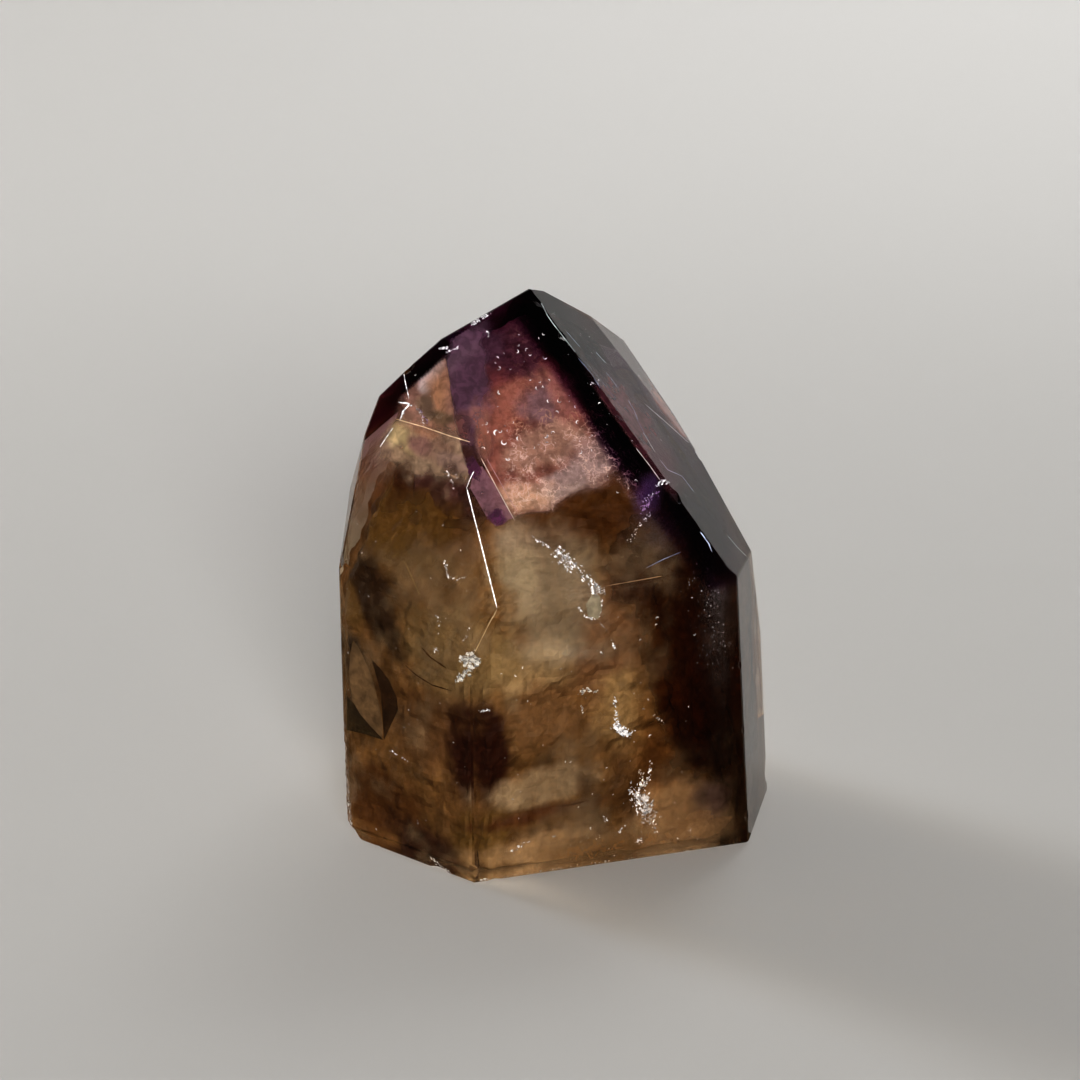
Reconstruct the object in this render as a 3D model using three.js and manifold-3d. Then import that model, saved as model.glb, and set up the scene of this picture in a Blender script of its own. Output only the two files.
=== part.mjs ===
// One natural quartz crystal, its faces flat and polished, cut level at the foot so that it stands.
// Millimetres, +Z up, the front towards -Y. The origin is the middle of the foot.
import * as THREE from 'three';
import { mergeVertices } from 'three/addons/utils/BufferGeometryUtils.js';
import Module from 'manifold-3d';

// The flat faces. facing is how far a face turns from the front, in degrees, positive to the right.
// rise is how far its outward direction tilts up from level, and reach is its plane's distance
// from the origin.
const faces = {
  frontRight: { facing: 17.4, rise: 0, reach: 21.1 },
  frontLeft: { facing: -38.2, rise: -0.2, reach: 26.3 },
  right: { facing: 77.2, rise: 3.3, reach: 25.7 },
  backRight: { facing: 128.6, rise: 4, reach: 20 },
  back: { facing: -163.4, rise: 0, reach: 22.7 },
  left: { facing: -99.3, rise: -0.2, reach: 23.7 },
  shoulderLeft: { facing: -83.4, rise: 14.2, reach: 35.4 },
  shoulderBackLeft: { facing: -105, rise: 16.6, reach: 34.1 },
  shoulderRight: { facing: 111, rise: 14, reach: 27.35 },
  crownFrontRight: { facing: 15.4, rise: 36.8, reach: 38.5 },
  crownFrontLeft: { facing: -29.8, rise: 24.5, reach: 37.3 },
  crownUpperLeft: { facing: -29.5, rise: 28.4, reach: 39.95 },
  crownLeft: { facing: -39.3, rise: 27.8, reach: 41.2 },
  crownRight: { facing: 80.7, rise: 41.2, reach: 40.7 },
  crownFarRight: { facing: 89.9, rise: 39.7, reach: 40.8 },
  crownBackLeft: { facing: -132.9, rise: 38.4, reach: 43.3 },
  crownBack: { facing: -162.3, rise: 40.7, reach: 45.2 },
};

const edgeBevel = 0.3;        // width of the narrow worn flat along every edge
const footBevel = 0.5;        // the same around the foot
const blockSize = 200;        // rough block that the faces are cut from
const cornerSlack = 1e-6;     // how far outside a face a corner may lie by rounding
const scoopUnevenness = 0.4;  // how much longer a chip's ball may be on one of its axes

// Shallow shell-shaped chips. Each sits where the named faces meet: two faces and a height for one
// on an edge, three faces for one on a corner. size is the scoop's radius, and bite its depth.
const edgeChips = [
  { between: ['crownFrontRight', 'crownRight'], height: 44.4, size: 2.2, bite: 0.42 },
  { between: ['crownFrontRight', 'crownRight'], height: 52.6, size: 1.1, bite: 0.26 },
  { between: ['crownFrontRight', 'crownRight'], height: 60.8, size: 1.3, bite: 0.3 },
  { between: ['crownFrontRight', 'crownRight'], height: 64.6, size: 1.6, bite: 0.34 },
  { between: ['crownFrontRight', 'crownBackLeft'], height: 62.4, size: 1.4, bite: 0.22 },
  { between: ['crownFrontRight', 'crownBackLeft'], height: 63.7, size: 1.6, bite: 0.24 },
  { between: ['crownUpperLeft', 'crownBackLeft'], height: 59.4, size: 1.2, bite: 0.22 },
  { between: ['crownUpperLeft', 'crownLeft'], height: 55.4, size: 1.3, bite: 0.26 },
  { between: ['crownFrontLeft', 'shoulderLeft'], height: 41.2, size: 0.9, bite: 0.22 },
  { between: ['frontRight', 'frontLeft'], height: 28.6, size: 2.4, bite: 0.55 },
  { between: ['frontRight', 'frontLeft'], height: 1.6, size: 1.8, bite: 0.4 },
  { between: ['frontRight', 'right'], height: 3.8, size: 1.2, bite: 0.3 },
  { between: ['frontRight', 'right'], height: 15.4, size: 1, bite: 0.24 },
  { between: ['frontRight', 'right'], height: 24.1, size: 1.1, bite: 0.24 },
  { between: ['right', 'backRight'], height: 3, size: 3.4, bite: 0.6 },
  { between: ['backRight', 'back'], height: 12.5, size: 2.6, bite: 0.5 },
  { between: ['back', 'left'], height: 30.2, size: 2.2, bite: 0.4 },
];
const cornerChips = [
  { at: ['frontLeft', 'left', 'crownFrontLeft'], size: 1.7, bite: 0.7 },
  { at: ['crownFarRight', 'shoulderRight', 'crownRight'], size: 1.4, bite: 0.4 },
  { at: ['crownBackLeft', 'crownUpperLeft', 'crownLeft'], size: 1.5, bite: 0.45 },
  { at: ['backRight', 'crownBack', 'back'], size: 2, bite: 0.6 },
];
// Chips out of the foot's edge: how far along each face, in mm from the face's own middle.
const footChips = [
  { face: 'frontLeft', along: 4.4, size: 2.6, bite: 0.8 },
  { face: 'frontLeft', along: -5.2, size: 1.5, bite: 0.35 },
  { face: 'frontRight', along: -14.8, size: 1.6, bite: 0.45 },
  { face: 'frontRight', along: -3.1, size: 1.1, bite: 0.25 },
  { face: 'frontRight', along: 9.6, size: 1.7, bite: 0.35 },
  { face: 'backRight', along: -8, size: 2.2, bite: 0.6 },
  { face: 'backRight', along: 11, size: 1.5, bite: 0.35 },
  { face: 'back', along: 3, size: 2.4, bite: 0.6 },
  { face: 'left', along: 6, size: 2, bite: 0.5 },
];
// The broken stretch of the front-left edge, from near mid height down to the foot.
const brokenEdge = {
  between: ['frontLeft', 'left'],
  top: 15,
  chips: 11,
  jitter: 0.8,
  topChip: { size: 1, bite: 0.25 },
  footChip: { size: 2.6, bite: 0.68 },
};
const brokenCorner = { at: ['frontLeft', 'left', 'foot'], size: 3.8, bite: 1.7 };

const degrees = Math.PI / 180;
const foot = { normal: new THREE.Vector3(0, 0, -1), reach: 0 };

// A face's plane, as its outward normal and its distance from the origin.
function planeOf(name) {
  if (name === 'foot') return foot;
  const { facing, rise, reach } = faces[name];
  const level = Math.cos(rise * degrees);
  const x = Math.sin(facing * degrees) * level;
  const y = -Math.cos(facing * degrees) * level;
  return { normal: new THREE.Vector3(x, y, Math.sin(rise * degrees)), reach };
}

const planes = new Map([...Object.keys(faces), 'foot'].map((name) => [name, planeOf(name)]));

// The point that three planes share, or null where two of them run parallel.
function meet(a, b, c) {
  const m = new THREE.Matrix3().set(...a.normal.toArray(), ...b.normal.toArray(), ...c.normal.toArray());
  if (Math.abs(m.determinant()) < cornerSlack) return null;
  return new THREE.Vector3(a.reach, b.reach, c.reach).applyMatrix3(m.invert());
}

// The two ends of the edge that two faces share, or null where they don't touch.
function edgeEnds(first, second) {
  const ends = [];
  for (const [name, plane] of planes) {
    if (name === first || name === second) continue;
    const corner = meet(planes.get(first), planes.get(second), plane);
    if (!corner) continue;
    const inside = [...planes.values()].every((p) => p.normal.dot(corner) < p.reach + cornerSlack);
    if (inside) ends.push(corner);
  }
  return ends.length > 1 ? ends : null;
}

const wasm = await Module();
wasm.setup();

// A closed three.js geometry as a solid that can be cut.
function toSolid(geometry) {
  geometry.deleteAttribute('normal');
  geometry.deleteAttribute('uv');
  const merged = mergeVertices(geometry);
  const vertProperties = new Float32Array(merged.attributes.position.array);
  const triVerts = new Uint32Array(merged.index.array);
  return new wasm.Manifold(new wasm.Mesh({ numProp: 3, vertProperties, triVerts }));
}

// Everything that lies outside a plane, as one big block.
function outside({ normal, reach }) {
  const block = new THREE.BoxGeometry(blockSize, blockSize, blockSize);
  const turn = new THREE.Quaternion().setFromUnitVectors(new THREE.Vector3(0, 0, 1), normal);
  block.applyQuaternion(turn);
  block.translate(...normal.clone().multiplyScalar(reach + blockSize / 2).toArray());
  return toSolid(block);
}

// The narrow flat that takes off the edge between two faces.
function bevelOf(first, second, ends) {
  const a = planes.get(first).normal;
  const b = planes.get(second).normal;
  const width = first === 'foot' || second === 'foot' ? footBevel : edgeBevel;
  const depth = (width / 2) * Math.tan(a.angleTo(b) / 2);
  const normal = a.clone().add(b).normalize();
  return { normal, reach: normal.dot(ends[0]) - depth };
}

// Repeatable random numbers from 0 to 1, so that the chips come out alike on every run.
let seed = 7;
function random() {
  seed = (seed * 16807) % 2147483647;
  return seed / 2147483647;
}

// One shell-shaped scoop: an uneven ball whose deepest corner lies its bite below a point.
function scoop(point, outward, size, bite) {
  const ball = new THREE.IcosahedronGeometry(size, 1);
  const turn = new THREE.Euler(random() * Math.PI, random() * Math.PI, random() * Math.PI);
  ball.applyQuaternion(new THREE.Quaternion().setFromEuler(turn));
  const [x, y, z] = [random(), random(), random()].map((r) => 1 + scoopUnevenness * r);
  ball.scale(x, y, z);
  const corners = ball.attributes.position;
  let deepest = 0;
  for (let i = 0; i < corners.count; i += 1) {
    const corner = new THREE.Vector3().fromBufferAttribute(corners, i);
    deepest = Math.max(deepest, -corner.dot(outward));
  }
  ball.translate(...outward.clone().multiplyScalar(deepest - bite).add(point).toArray());
  return toSolid(ball);
}

// The outward direction halfway between the named faces.
function outwardOf(names) {
  const sum = new THREE.Vector3();
  for (const name of names) sum.add(planes.get(name).normal);
  return sum.normalize();
}

function edgeChip({ between: [first, second], height, size, bite }) {
  const level = { normal: new THREE.Vector3(0, 0, 1), reach: height };
  const point = meet(planes.get(first), planes.get(second), level);
  return scoop(point, outwardOf([first, second]), size, bite);
}

function cornerChip({ at, size, bite }) {
  return scoop(meet(...at.map((name) => planes.get(name))), outwardOf(at), size, bite);
}

function footChip({ face, along, size, bite }) {
  const [start, end] = edgeEnds(face, 'foot');
  const middle = start.clone().add(end).multiplyScalar(0.5);
  const sideways = new THREE.Vector3(0, 0, 1).cross(planes.get(face).normal).normalize();
  return scoop(middle.addScaledVector(sideways, along), outwardOf([face, 'foot']), size, bite);
}

// A row of chips that overlap, growing towards the foot.
function brokenEdgeChips({ between, top, chips, jitter, topChip, footChip: lowest }) {
  const row = [];
  for (let i = 0; i < chips; i += 1) {
    const down = i / (chips - 1);
    const size = topChip.size + (lowest.size - topChip.size) * down;
    const bite = topChip.bite + (lowest.bite - topChip.bite) * down;
    const height = top * (1 - down) + (random() - 0.5) * jitter;
    row.push(edgeChip({ between, height, size, bite }));
  }
  return row;
}

function crystal() {
  const cuts = [...planes.values()].map(outside);
  const names = [...planes.keys()];
  for (const [i, first] of names.entries()) {
    for (const second of names.slice(i + 1)) {
      const ends = edgeEnds(first, second);
      if (ends) cuts.push(outside(bevelOf(first, second, ends)));
    }
  }
  cuts.push(...edgeChips.map(edgeChip), ...cornerChips.map(cornerChip), ...footChips.map(footChip));
  cuts.push(...brokenEdgeChips(brokenEdge), cornerChip(brokenCorner));
  let solid = toSolid(new THREE.BoxGeometry(blockSize, blockSize, blockSize));
  for (const cut of cuts) solid = solid.subtract(cut);
  const { vertProperties, triVerts } = solid.getMesh();
  const geometry = new THREE.BufferGeometry();
  geometry.setAttribute('position', new THREE.BufferAttribute(new Float32Array(vertProperties), 3));
  geometry.setIndex(new THREE.BufferAttribute(new Uint32Array(triVerts), 1));
  return geometry;
}

// The foot's middle becomes the origin.
function standOnOrigin(geometry) {
  geometry.computeBoundingBox();
  const { min, max } = geometry.boundingBox;
  return geometry.translate(-(min.x + max.x) / 2, -(min.y + max.y) / 2, -min.z);
}

const smokyQuartz = new THREE.MeshStandardMaterial({
  color: 0x6b5136,
  roughness: 0.08,
  metalness: 0,
  flatShading: true,
});
const point = new THREE.Mesh(standOnOrigin(crystal()), smokyQuartz);
point.name = 'quartz_point';

const model = new THREE.Group();
model.add(point);

export default model;
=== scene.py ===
import math
import random

import bpy
import bmesh
from mathutils import Matrix, Vector, noise
from mathutils.bvhtree import BVHTree


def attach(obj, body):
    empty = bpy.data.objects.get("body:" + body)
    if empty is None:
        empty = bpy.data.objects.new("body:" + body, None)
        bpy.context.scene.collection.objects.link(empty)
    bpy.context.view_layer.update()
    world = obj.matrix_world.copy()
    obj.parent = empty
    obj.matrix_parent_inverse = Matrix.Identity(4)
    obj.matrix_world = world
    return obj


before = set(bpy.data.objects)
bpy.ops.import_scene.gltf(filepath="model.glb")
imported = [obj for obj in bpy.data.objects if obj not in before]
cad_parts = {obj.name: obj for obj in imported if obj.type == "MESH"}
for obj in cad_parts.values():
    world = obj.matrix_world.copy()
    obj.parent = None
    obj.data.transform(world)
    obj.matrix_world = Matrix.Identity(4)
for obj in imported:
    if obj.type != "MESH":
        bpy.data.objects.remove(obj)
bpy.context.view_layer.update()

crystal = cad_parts["quartz_point"]
mm = 0.001
imageSide = 1080  # pixels, both ways

quartz = {
    "ior": 1.544,
    "body": (0.78, 0.65, 0.46),   # what an absorption length lets through
    "density": 56.0,              # per metre
    "lampShare": 0.85,            # of the light that each face passes to what lies inside
}
dullSheen = 0.2    # how little the paper and the dust mirror
softGrain = 0.6    # the roughness of every noise in a material


class Wire:
    # one output of a node, so that a mask can be written as plain arithmetic
    def __init__(self, finish, socket):
        self.finish = finish
        self.socket = socket

    def math(self, operation, first, second=0.0):
        return self.finish.node("ShaderNodeMath", {"operation": operation}, {0: first, 1: second})

    def __add__(self, other):
        return self.math("ADD", self, other)

    def __radd__(self, other):
        return self.math("ADD", other, self)

    def __sub__(self, other):
        return self.math("SUBTRACT", self, other)

    def __rsub__(self, other):
        return self.math("SUBTRACT", other, self)

    def __mul__(self, other):
        return self.math("MULTIPLY", self, other)

    def __rmul__(self, other):
        return self.math("MULTIPLY", other, self)

    def __abs__(self):
        return self.math("ABSOLUTE", self)


class Finish:
    # a material being made: node() adds any node, and the rest are short names for common ones
    def __init__(self, name):
        self.material = bpy.data.materials.new(name)
        self.material.use_nodes = True
        self.tree = self.material.node_tree
        self.tree.nodes.clear()
        self.output = self.tree.nodes.new("ShaderNodeOutputMaterial")

    def node(self, kind, settings=None, values=None, output=0):
        made = self.tree.nodes.new(kind)
        for key, value in (settings or {}).items():
            setattr(made, key, value)
        for key, value in (values or {}).items():
            if isinstance(value, Wire):
                self.tree.links.new(value.socket, made.inputs[key])
            elif value is not None:
                made.inputs[key].default_value = value
        return Wire(self, made.outputs[output])

    def place(self):
        return self.node("ShaderNodeTexCoord", output="Object")

    def cloud(self, scale, detail, warp=0.0, at=None):
        values = {"Vector": at or self.place(), "Scale": scale, "Detail": detail, "Roughness": softGrain,
                  "Distortion": warp}
        return self.node("ShaderNodeTexNoise", values=values)

    def between(self, value, low, high, out=(0.0, 1.0)):
        settings = {"interpolation_type": "SMOOTHSTEP", "clamp": True}
        values = {"Value": value, "From Min": low, "From Max": high, "To Min": out[0], "To Max": out[1]}
        return self.node("ShaderNodeMapRange", settings, values)

    def blend(self, share, first, second, how="MIX"):
        settings = {"data_type": "RGBA", "blend_type": how}
        return self.node("ShaderNodeMix", settings, {0: share, 6: rgba(first), 7: rgba(second)}, 2)

    def bump(self, height, strength, distance):
        values = {"Height": height, "Strength": strength, "Distance": distance}
        return self.node("ShaderNodeBump", values=values)

    def dust(self, colour, share, shade, glow, rough, normal=None):
        # fine grains on a sheet: they catch light in front, pass some from behind, and leave gaps
        front = self.node("ShaderNodeBsdfPrincipled", values={
            "Base Color": rgba(colour), "Roughness": rough, "Specular IOR Level": dullSheen,
            "Normal": normal})
        behind = self.node("ShaderNodeBsdfTranslucent", values={"Color": rgba(colour), "Normal": normal})
        lit = self.node("ShaderNodeMixShader", values={0: glow, 1: front, 2: behind})
        gap = self.node("ShaderNodeBsdfTransparent")
        seen = self.node("ShaderNodeMixShader", values={0: share, 1: gap, 2: lit})
        stopped = self.node("ShaderNodeBsdfTransparent", values={"Color": (0, 0, 0, 1)})
        lampSees = self.node("ShaderNodeMixShader", values={0: shade, 1: gap, 2: stopped})
        lampRay = self.node("ShaderNodeLightPath", output="Is Shadow Ray")
        self.surface(self.node("ShaderNodeMixShader", values={0: lampRay, 1: seen, 2: lampSees}))

    def surface(self, shader):
        self.tree.links.new(shader.socket, self.output.inputs["Surface"])

    def volume(self, shader):
        self.tree.links.new(shader.socket, self.output.inputs["Volume"])


def rgba(colour):
    return colour if isinstance(colour, Wire) or len(colour) == 4 else (*colour, 1)


view = {
    "lens": 105.1,
    "distance": 380 * mm,
    "elevation": math.radians(22),
    "target": Vector((-2.4, -5.2, 36)) * mm,
    "nearest": 0.01,
}
sensorWidth = 36  # mm, the camera's default


def addCamera():
    back = Vector((0, -math.cos(view["elevation"]), math.sin(view["elevation"])))
    data = bpy.data.cameras.new("camera")
    data.lens = view["lens"]
    data.sensor_width = sensorWidth
    data.clip_start = view["nearest"]
    camera = bpy.data.objects.new("camera", data)
    camera.location = view["target"] + back * view["distance"]
    camera.rotation_euler = (math.pi / 2 - view["elevation"], 0, 0)
    bpy.context.scene.collection.objects.link(camera)
    bpy.context.scene.camera = camera
    return camera


camera = addCamera()


# the polished faces: which way each one looks, in degrees round from the front and up
facets = {
    "frontRight": (17.4, 0), "frontLeft": (-38.2, -0.2), "right": (77.2, 3.3), "left": (-99.3, -0.2),
    "backRight": (128.6, 4), "back": (-163.4, 0),
    "shoulderLeft": (-83.4, 14.2), "shoulderBackLeft": (-105, 16.6), "shoulderRight": (111, 14),
    "crownFrontRight": (15.4, 36.8), "crownFrontLeft": (-29.8, 24.5), "crownUpperLeft": (-29.5, 28.4),
    "crownLeft": (-39.3, 27.8), "crownRight": (80.7, 41.2), "crownFarRight": (89.9, 39.7),
    "crownBackLeft": (-132.9, 38.4), "crownBack": (-162.3, 40.7),
}
sameFacet = 0.9998  # cosine of the angle within which a polygon belongs to a facet


def looking(turn, rise):
    turn, rise = math.radians(turn), math.radians(rise)
    return Vector((math.sin(turn) * math.cos(rise), -math.cos(turn) * math.cos(rise), math.sin(rise)))


def measureFacets():
    found = {"foot": (Vector((0, 0, -1)), 0.0)}
    for name, (turn, rise) in facets.items():
        normal = looking(turn, rise)
        flats = [p for p in crystal.data.polygons if p.normal.dot(normal) > sameFacet]
        area = sum(p.area for p in flats)
        found[name] = (normal, sum(p.area * p.center.dot(normal) for p in flats) / area)
    return found


planes = measureFacets()
skin = BVHTree.FromPolygons([v.co.copy() for v in crystal.data.vertices],
                            [tuple(p.vertices) for p in crystal.data.polygons])


def lookIn(pixel):
    # where the camera meets the crystal at a pixel, the face's normal, and the way the ray bends inside
    focal = view["lens"] / sensorWidth * imageSide
    ray = Vector((pixel[0] - imageSide / 2, imageSide / 2 - pixel[1], -focal))
    ray = (camera.rotation_euler.to_matrix() @ ray).normalized()
    place, normal, _, _ = skin.ray_cast(camera.location, ray)
    if place is None:
        return None, None, None
    slow = 1 / quartz["ior"]
    steep = -ray.dot(normal)
    bent = ray * slow + normal * (slow * steep - math.sqrt(1 - slow * slow * (1 - steep * steep)))
    return place, normal, bent.normalized()


def seenAt(pixel, depth):
    # the point that shows at a pixel and lies so many mm under the polished face there
    place, normal, bent = lookIn(pixel)
    if place is None:
        return None
    return place + bent * (depth * mm / -bent.dot(normal))


def clearance(point):
    return min(reach - normal.dot(point) for normal, reach in planes.values())


roughBlock = 0.3    # metres along the block that each inner form is cut from
cutSlack = 1e-7     # metres


def cutSolid(depths, standard, extra=()):
    # the crystal's own form with every face moved inwards, in mm, and any extra planes
    shape = bmesh.new()
    bmesh.ops.create_cube(shape, size=roughBlock)
    cuts = [(n, r - depths.get(name, standard) * mm) for name, (n, r) in planes.items()]
    for normal, reach in cuts + list(extra):
        everything = shape.verts[:] + shape.edges[:] + shape.faces[:]
        cut = bmesh.ops.bisect_plane(shape, geom=everything, dist=cutSlack, plane_co=normal * reach,
                                     plane_no=normal, clear_outer=True)["geom_cut"]
        rim = [e for e in cut if isinstance(e, bmesh.types.BMEdge)]
        if len(rim) > 2:
            bmesh.ops.contextual_create(shape, geom=rim)
    bmesh.ops.recalc_face_normals(shape, faces=shape.faces[:])
    return shape


def asObject(name, shape):
    mesh = bpy.data.meshes.new(name)
    shape.to_mesh(mesh)
    shape.free()
    made = bpy.data.objects.new(name, mesh)
    bpy.context.scene.collection.objects.link(made)
    return made


def addPiece(name, shape, finish):
    piece = asObject(name, shape)
    piece.data.materials.append(finish)
    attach(piece, "root")
    return piece


def evaluated(piece):
    return piece.evaluated_get(bpy.context.evaluated_depsgraph_get())


def grained(shape, grain):
    # the same form in small even faces, its edges a little rounded
    rough = asObject("rough", shape)
    remesh = rough.modifiers.new("grain", "REMESH")
    remesh.mode = "VOXEL"
    remesh.voxel_size = grain * mm
    shape = bmesh.new()
    shape.from_mesh(evaluated(rough).to_mesh())
    bpy.data.objects.remove(rough)
    return shape


ruffleNoise = (0.6, 2.0, 4)    # its roughness, how much finer each layer is, and how many there are


def ruffle(shape, height, scale, seed):
    # an uneven natural surface: each point moves along its normal by soft noise
    shape.normal_update()
    start = Vector((seed, 0, 0))
    moves = [v.normal * (noise.fractal(v.co / mm / scale + start, *ruffleNoise) * height * mm)
             for v in shape.verts]
    for vertex, move in zip(shape.verts, moves):
        vertex.co += move


stage = {
    "floorFront": -0.9,
    "split": -0.012,               # in front of here the floor gives no mirror image in the polished faces
    "sweepStart": 0.22,
    "sweepRadius": 0.55,
    "sweepSteps": 24,
    "wallTop": 1.4,
    "width": 3.0,
    "gap": 0.03 * mm,              # air under the foot, so that it still mirrors
    "colour": (0.61, 0.606, 0.598),
    "rough": 0.8,
}


def addBackdrop():
    paper = Finish("backdropPaper")
    paper.surface(paper.node("ShaderNodeBsdfPrincipled", values={
        "Base Color": rgba(stage["colour"]), "Roughness": stage["rough"], "Specular IOR Level": dullSheen}))
    sweep = [(stage["split"], 0.0), (stage["sweepStart"], 0.0)]
    for i in range(1, stage["sweepSteps"] + 1):
        turn = math.pi / 2 * i / stage["sweepSteps"]
        out = stage["sweepStart"] + stage["sweepRadius"] * math.sin(turn)
        sweep.append((out, stage["sweepRadius"] * (1 - math.cos(turn))))
    sweep.append((sweep[-1][0], stage["wallTop"]))
    front = [(stage["floorFront"], 0.0), (stage["split"], 0.0)]
    half = stage["width"] / 2
    for name, profile in (("backdrop", sweep), ("floor", front)):
        mesh = bpy.data.meshes.new(name)
        points = [(x, y, z - stage["gap"]) for y, z in profile for x in (-half, half)]
        faces = [(2 * i, 2 * i + 1, 2 * i + 3, 2 * i + 2) for i in range(len(profile) - 1)]
        mesh.from_pydata(points, [], faces)
        mesh.polygons.foreach_set("use_smooth", [True] * len(mesh.polygons))
        mesh.materials.append(paper.material)
        part = bpy.data.objects.new(name, mesh)
        part.visible_glossy = name == "backdrop"
        bpy.context.scene.collection.objects.link(part)


def addLamp(name, place, aim, size, power, colour, spread):
    data = bpy.data.lights.new(name, "AREA")
    data.shape = "RECTANGLE"
    data.size, data.size_y = size
    data.energy = power
    data.color = colour
    data.spread = math.radians(spread)
    lamp = bpy.data.objects.new(name, data)
    lamp.location = place
    lamp.rotation_euler = (Vector(aim) - Vector(place)).to_track_quat("-Z", "Y").to_euler()
    bpy.context.scene.collection.objects.link(lamp)


lights = [
    # name, turn and rise in degrees as seen from the aim, metres away, aim in mm, width and height, watts,
    # colour, and the degrees through which it fans out
    ("windowLight", -125, 19, 1.10, (0, 0, 30), (0.20, 0.20), 5.2, (1.0, 0.98, 0.95), 180),
    ("ceilingLight", 135, 58, 0.95, (30, 200, 60), (0.80, 0.40), 0.42, (1.0, 1.0, 1.0), 180),
    ("wallLight", 150, 70, 0.62, (140, 420, 0), (0.40, 0.30), 0.56, (1.0, 1.0, 1.0), 85),
    ("frontLight", 8, 24, 1.15, (0, 0, 35), (0.45, 0.30), 8.4, (1.0, 0.98, 0.95), 180),
]
room = {"colour": (0.53, 0.50, 0.47), "strength": 0.07}


def addLights():
    for name, turn, rise, away, aim, *rest in lights:
        aim = Vector(aim) * mm
        addLamp(name, aim + looking(turn, rise) * away, aim, *rest)
    world = bpy.data.worlds.new("room")
    bpy.context.scene.world = world
    world.use_nodes = True
    background = world.node_tree.nodes["Background"]
    background.inputs["Color"].default_value = rgba(room["colour"])
    background.inputs["Strength"].default_value = room["strength"]


addBackdrop()
addLights()
print("stage and lights")


def quartzFinish():
    glass = Finish("polishedQuartz")
    body = glass.node("ShaderNodeBsdfPrincipled", values={
        "Base Color": (1, 1, 1, 1), "Roughness": 0.0, "IOR": quartz["ior"], "Transmission Weight": 1.0})
    share = quartz["lampShare"]
    clear = glass.node("ShaderNodeBsdfTransparent", values={"Color": (share, share, share, 1)})
    lampRay = glass.node("ShaderNodeLightPath", output="Is Shadow Ray")
    glass.surface(glass.node("ShaderNodeMixShader", values={0: lampRay, 1: body, 2: clear}))
    glass.volume(glass.node("ShaderNodeVolumeAbsorption", values={
        "Color": rgba(quartz["body"]), "Density": quartz["density"]}))
    return glass.material


crystal.data.materials.clear()
crystal.data.materials.append(quartzFinish())
print("quartz body")


amethyst = {
    "colour": (0.56, 0.10, 0.62),
    "skin": 0.25,                 # mm of clear quartz outside it
    "apart": 0.04,                # mm between the skins of one zone and the next
    "levels": (40, 46),           # mm up: where each share of the violet starts
    "densities": (12, 22),
    "tilt": (0.06, 0.02),
    "wedge": {"colour": (0.42, 0.16, 0.48), "density": 700, "under": "crownRight", "thick": 3.4,
              "level": 38, "tilt": (0.0, 0.25)},
    "tip": {"colour": (0.50, 0.15, 0.44), "density": 260, "level": 58.5, "tilt": (0.25, 0.1)},
    "backEdge": {"density": 220, "under": "crownBackLeft", "thick": 2.2, "level": 47, "tilt": (0, 0)},
}
phantom = {
    "depths": {
        "crownFrontRight": 2.5, "crownRight": 3.6, "crownFarRight": 4.6, "crownUpperLeft": 3.6,
        "crownFrontLeft": 4.7, "crownLeft": 6, "crownBackLeft": 1.4, "crownBack": 2.6,
        "shoulderLeft": 8, "shoulderBackLeft": 8, "shoulderRight": 8,
        "frontRight": 9.3, "frontLeft": 10, "right": 9, "backRight": 9, "back": 9, "left": 9,
    },
    "otherDepth": 8,              # mm under any other plane
    "base": 30,
    "rounding": 0.45,
    "ruffle": (0.22, 3.0, 4),     # height and size in mm, and seed
}


def below(level, tilt=(0, 0), up=1):
    # a plane that keeps what is below a level in mm
    normal = Vector((*tilt, up)).normalized()
    return normal, normal.dot(Vector((0, 0, level * mm)))


def above(level, tilt=(0, 0)):
    return below(level, tilt, -1)


def within(facet, thick):
    # a plane that keeps what is within so many mm of a polished face
    normal, reach = planes[facet]
    return -normal, thick * mm - reach


def carve(piece, tool):
    # takes one closed form out of another
    cut = piece.modifiers.new("cut", "BOOLEAN")
    cut.operation = "DIFFERENCE"
    cut.solver = "EXACT"
    cut.object = tool
    result = bpy.data.meshes.new_from_object(evaluated(piece))
    piece.modifiers.clear()
    old = piece.data
    piece.data = result
    bpy.data.meshes.remove(old)


def phantomForm():
    return cutSolid(phantom["depths"], phantom["otherDepth"], [above(phantom["base"])])


def stain(name, colour, density):
    # clear quartz with a colour of its own in its depth
    tint = Finish(name)
    tint.surface(tint.node("ShaderNodeBsdfTransparent"))
    tint.volume(tint.node("ShaderNodeVolumeAbsorption", values={"Color": rgba(colour), "Density": density}))
    return tint.material


def addAmethyst():
    tool = asObject("tool", phantomForm())
    skinDepth = amethyst["skin"]
    for i, (level, density) in enumerate(zip(amethyst["levels"], amethyst["densities"])):
        skinDepth += amethyst["apart"]
        shape = cutSolid({}, skinDepth, [above(level, amethyst["tilt"])])
        violet = stain("amethystDepth%d" % (i + 1), amethyst["colour"], density)
        carve(addPiece("amethyst_zone_%d" % (i + 1), shape, violet), tool)
    for name in ("wedge", "backEdge"):
        part = amethyst[name]
        skinDepth += amethyst["apart"]
        bounds = [within(part["under"], part["thick"]), above(part["level"], part["tilt"])]
        violet = stain("amethyst" + name, part.get("colour", amethyst["colour"]), part["density"])
        addPiece("amethyst_" + name, cutSolid({}, skinDepth, bounds), violet)
    tip = amethyst["tip"]
    shape = cutSolid({}, skinDepth + amethyst["apart"], [above(tip["level"], tip["tilt"])])
    addPiece("amethyst_tip", shape, stain("amethystTip", tip["colour"], tip["density"]))
    bpy.data.objects.remove(tool)


addAmethyst()
print("amethyst cap")


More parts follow.
